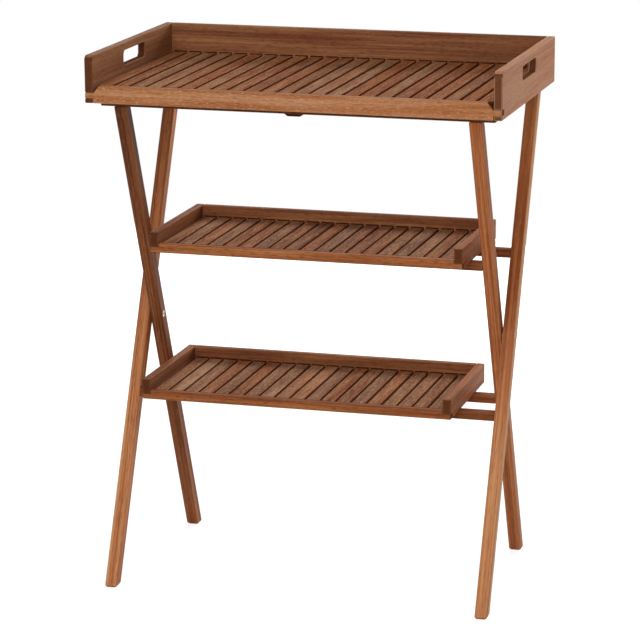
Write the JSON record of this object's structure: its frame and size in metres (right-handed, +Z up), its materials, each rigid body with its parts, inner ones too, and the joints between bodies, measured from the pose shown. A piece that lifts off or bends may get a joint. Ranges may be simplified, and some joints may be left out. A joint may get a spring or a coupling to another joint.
{
  "type": "folding tray stand",
  "caption": "Wooden folding stand: crossed leg frames on pivot bolts carry a lift-off slatted tray with hand-holds and lift-off slatted shelves below.",
  "frame": {"origin": "on the floor under the middle of the stand", "axes": "+X to the right along the tray, +Y to the back, +Z up"},
  "size_m": [0.7, 0.432, 0.914],
  "materials": {
    "leg_wood": "oiled acacia, satin, straight grain along the legs",
    "rail_wood": "oiled acacia, satin, grain along the rails",
    "board_wood": "oiled acacia, satin, grain along the boards",
    "slat_wood": "oiled acacia, satin, each slat of its own tone",
    "dowel_wood": "plain turned hardwood dowel",
    "steel": "zinc-plated steel"
  },
  "bodies": {
    "outer_frame": {"outer_leg_left": "leg_wood", "outer_leg_right": "leg_wood", "outer_top_rail": "rail_wood", "outer_middle_rail": "rail_wood", "outer_bottom_rail": "rail_wood", "outer_dowels": "dowel_wood", "pivot_bolts": "steel", "pivot_spacers": "steel", "pivot_washers": "steel", "pivot_nuts": "steel"},
    "inner_frame": {"inner_leg_left": "leg_wood", "inner_leg_right": "leg_wood", "inner_top_rail": "rail_wood", "inner_middle_rail": "rail_wood", "inner_bottom_rail": "rail_wood", "inner_dowels": "dowel_wood"},
    "tray": {"tray_left_end": "board_wood", "tray_right_end": "board_wood", "tray_back_board": "board_wood", "tray_front_board": "board_wood", "tray_front_ledger": "rail_wood", "tray_back_ledger": "rail_wood", "tray_slats": "slat_wood", "tray_cleat": "rail_wood", "tray_cleat_screws": "steel", "tray_ledger_screws": "steel", "tray_dowels": "dowel_wood"},
    "middle_shelf": {"middle_shelf_left_end": "board_wood", "middle_shelf_right_end": "board_wood", "middle_shelf_back_board": "board_wood", "middle_shelf_front_board": "board_wood", "middle_shelf_front_ledger": "rail_wood", "middle_shelf_back_ledger": "rail_wood", "middle_shelf_slats": "slat_wood", "middle_shelf_dowels": "dowel_wood"},
    "bottom_shelf": {"bottom_shelf_left_end": "board_wood", "bottom_shelf_right_end": "board_wood", "bottom_shelf_back_board": "board_wood", "bottom_shelf_front_board": "board_wood", "bottom_shelf_front_ledger": "rail_wood", "bottom_shelf_back_ledger": "rail_wood", "bottom_shelf_slats": "slat_wood", "bottom_shelf_dowels": "dowel_wood"}
  },
  "joints": [
    {"name": "frame_fold", "type": "hinge", "parent": "outer_frame", "child": "inner_frame", "pos_m": [0, 0, 0.436], "axis": [-1, 0, 0], "range_deg": [0, 38]},
    {"name": "tray_lift", "type": "slide", "parent": "outer_frame", "child": "tray", "axis": [0, 0, 1], "range_m": [0, 0.735]},
    {"name": "middle_shelf_draw", "type": "slide", "parent": "outer_frame", "child": "middle_shelf", "axis": [0, -0.9404, 0.3401], "range_m": [0, 0.47]},
    {"name": "bottom_shelf_draw", "type": "slide", "parent": "outer_frame", "child": "bottom_shelf", "axis": [0, -0.9404, 0.3401], "range_m": [0, 0.47]}
  ],
  "couplings": [
    {"joint": "tray_lift", "follows": "frame_fold", "m_per_rad": 1.1},
    {"joint": "middle_shelf_draw", "follows": "frame_fold", "m_per_rad": 0.7},
    {"joint": "bottom_shelf_draw", "follows": "frame_fold", "m_per_rad": 0.7}
  ]
}
